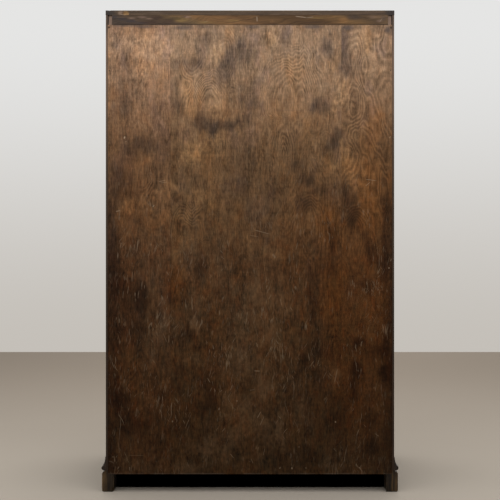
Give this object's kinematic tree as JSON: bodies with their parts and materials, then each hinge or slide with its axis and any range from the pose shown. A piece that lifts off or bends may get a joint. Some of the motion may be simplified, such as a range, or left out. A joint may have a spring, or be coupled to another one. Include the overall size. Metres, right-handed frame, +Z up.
{
  "type": "wardrobe",
  "caption": "Free-standing wardrobe with panelled doors, framed sides, a plywood back, a hat shelf over a hanging rail, a beaded base moulding and short block feet.",
  "frame": {"origin": "on the floor, under the middle of the wardrobe's overall box", "axes": "+Z up, the doors face -Y and the back panel +Y, +X to the right as seen from the front"},
  "size_m": [1.099, 0.54, 1.784],
  "materials": {
    "stained_oak": "dark stained and waxed, worn at the edges",
    "stained_plywood": "smoky brown stain on rotary-cut plywood, satin and scuffed",
    "rail_wood": "olive-brown figured wood, rubbed finish",
    "top_board_wood": "dark grey-brown, chipped along the rear edge",
    "foot_wood": "brown stained, upright grain, rubbed toes",
    "interior_wood": "unpolished sawn boards",
    "dowel_wood": "bare beech",
    "aged_brass": "aged, brighter where it is handled",
    "dull_steel": "dull, slightly darkened steel",
    "rail_steel": "plated tube with a satin sheen"
  },
  "bodies": {
    "carcase": {"left_front_stile": "stained_oak", "right_front_stile": "stained_oak", "left_rear_stile": "stained_oak", "right_rear_stile": "stained_oak", "left_side_rails": "stained_oak", "right_side_rails": "stained_oak", "left_side_panel": "stained_oak", "right_side_panel": "stained_oak", "front_top_rail": "stained_oak", "front_bottom_rail": "stained_oak", "base_moulding_front": "stained_oak", "base_moulding_sides": "stained_oak", "floor_board": "interior_wood", "door_stop_strip": "interior_wood", "hat_shelf": "interior_wood", "shelf_bearers": "interior_wood", "rear_bottom_rail": "interior_wood", "back_panel": "stained_plywood", "rear_top_rail": "rail_wood", "top_board": "top_board_wood", "foot_dowels": "dowel_wood", "hanging_rail": "rail_steel", "front_left_foot": "foot_wood", "front_right_foot": "foot_wood", "rear_left_foot": "foot_wood", "rear_right_foot": "foot_wood", "hinge_frame_leaves": "aged_brass", "hinge_pins": "aged_brass", "rail_sockets": "aged_brass", "back_panel_pins": "dull_steel", "carcase_screws": "dull_steel"},
    "left_door": {"left_door_hinge_stile": "stained_oak", "left_door_meeting_stile": "stained_oak", "left_door_top_rail": "stained_oak", "left_door_lock_rail": "stained_oak", "left_door_bottom_rail": "stained_oak", "left_door_upper_panel": "stained_oak", "left_door_lower_panel": "stained_oak", "left_door_handle_plate": "aged_brass", "left_door_hinge_leaves": "aged_brass", "left_door_slide_plates": "aged_brass", "left_door_screws": "dull_steel"},
    "right_door": {"right_door_hinge_stile": "stained_oak", "right_door_meeting_stile": "stained_oak", "right_door_top_rail": "stained_oak", "right_door_lock_rail": "stained_oak", "right_door_bottom_rail": "stained_oak", "right_door_upper_panel": "stained_oak", "right_door_lower_panel": "stained_oak", "right_door_handle_plate": "aged_brass", "right_door_escutcheon": "aged_brass", "right_door_hinge_leaves": "aged_brass", "right_door_screws": "dull_steel", "right_door_lock_case": "dull_steel"},
    "left_handle_drop": {"left_handle_drop": "aged_brass"},
    "right_handle_drop": {"right_handle_drop": "aged_brass"},
    "key": {"key": "dull_steel"},
    "lock_bolt": {"lock_bolt": "dull_steel"},
    "top_slide_bolt": {"top_slide_bolt": "dull_steel"},
    "bottom_slide_bolt": {"bottom_slide_bolt": "dull_steel"}
  },
  "joints": [
    {"name": "right_door_hinge", "type": "hinge", "parent": "carcase", "child": "right_door", "pos_m": [0.5095, -0.2442, 0.926], "axis": [0, 0, 1], "range_deg": [0, 165]},
    {"name": "left_door_hinge", "type": "hinge", "parent": "carcase", "child": "left_door", "pos_m": [-0.5095, -0.2442, 0.926], "axis": [0, 0, -1], "range_deg": [0, 165]},
    {"name": "right_handle_swing", "type": "hinge", "parent": "right_door", "child": "right_handle_drop", "pos_m": [0.032, -0.25, 1.045], "axis": [-1, 0, 0], "range_deg": [0, 75]},
    {"name": "left_handle_swing", "type": "hinge", "parent": "left_door", "child": "left_handle_drop", "pos_m": [-0.032, -0.25, 1.045], "axis": [-1, 0, 0], "range_deg": [0, 75]},
    {"name": "key_turn", "type": "hinge", "parent": "right_door", "child": "key", "pos_m": [0.027, -0.24, 0.93], "axis": [0, -1, 0], "range_deg": [0, 180]},
    {"name": "lock_bolt_slide", "type": "slide", "parent": "right_door", "child": "lock_bolt", "axis": [-1, 0, 0], "range_m": [0, 0.01]},
    {"name": "top_bolt_slide", "type": "slide", "parent": "left_door", "child": "top_slide_bolt", "axis": [0, 0, 1], "range_m": [0, 0.014]},
    {"name": "bottom_bolt_slide", "type": "slide", "parent": "left_door", "child": "bottom_slide_bolt", "axis": [0, 0, -1], "range_m": [0, 0.014]}
  ],
  "couplings": [
    {"joint": "lock_bolt_slide", "follows": "key_turn", "m_per_rad": 0.003183}
  ]
}
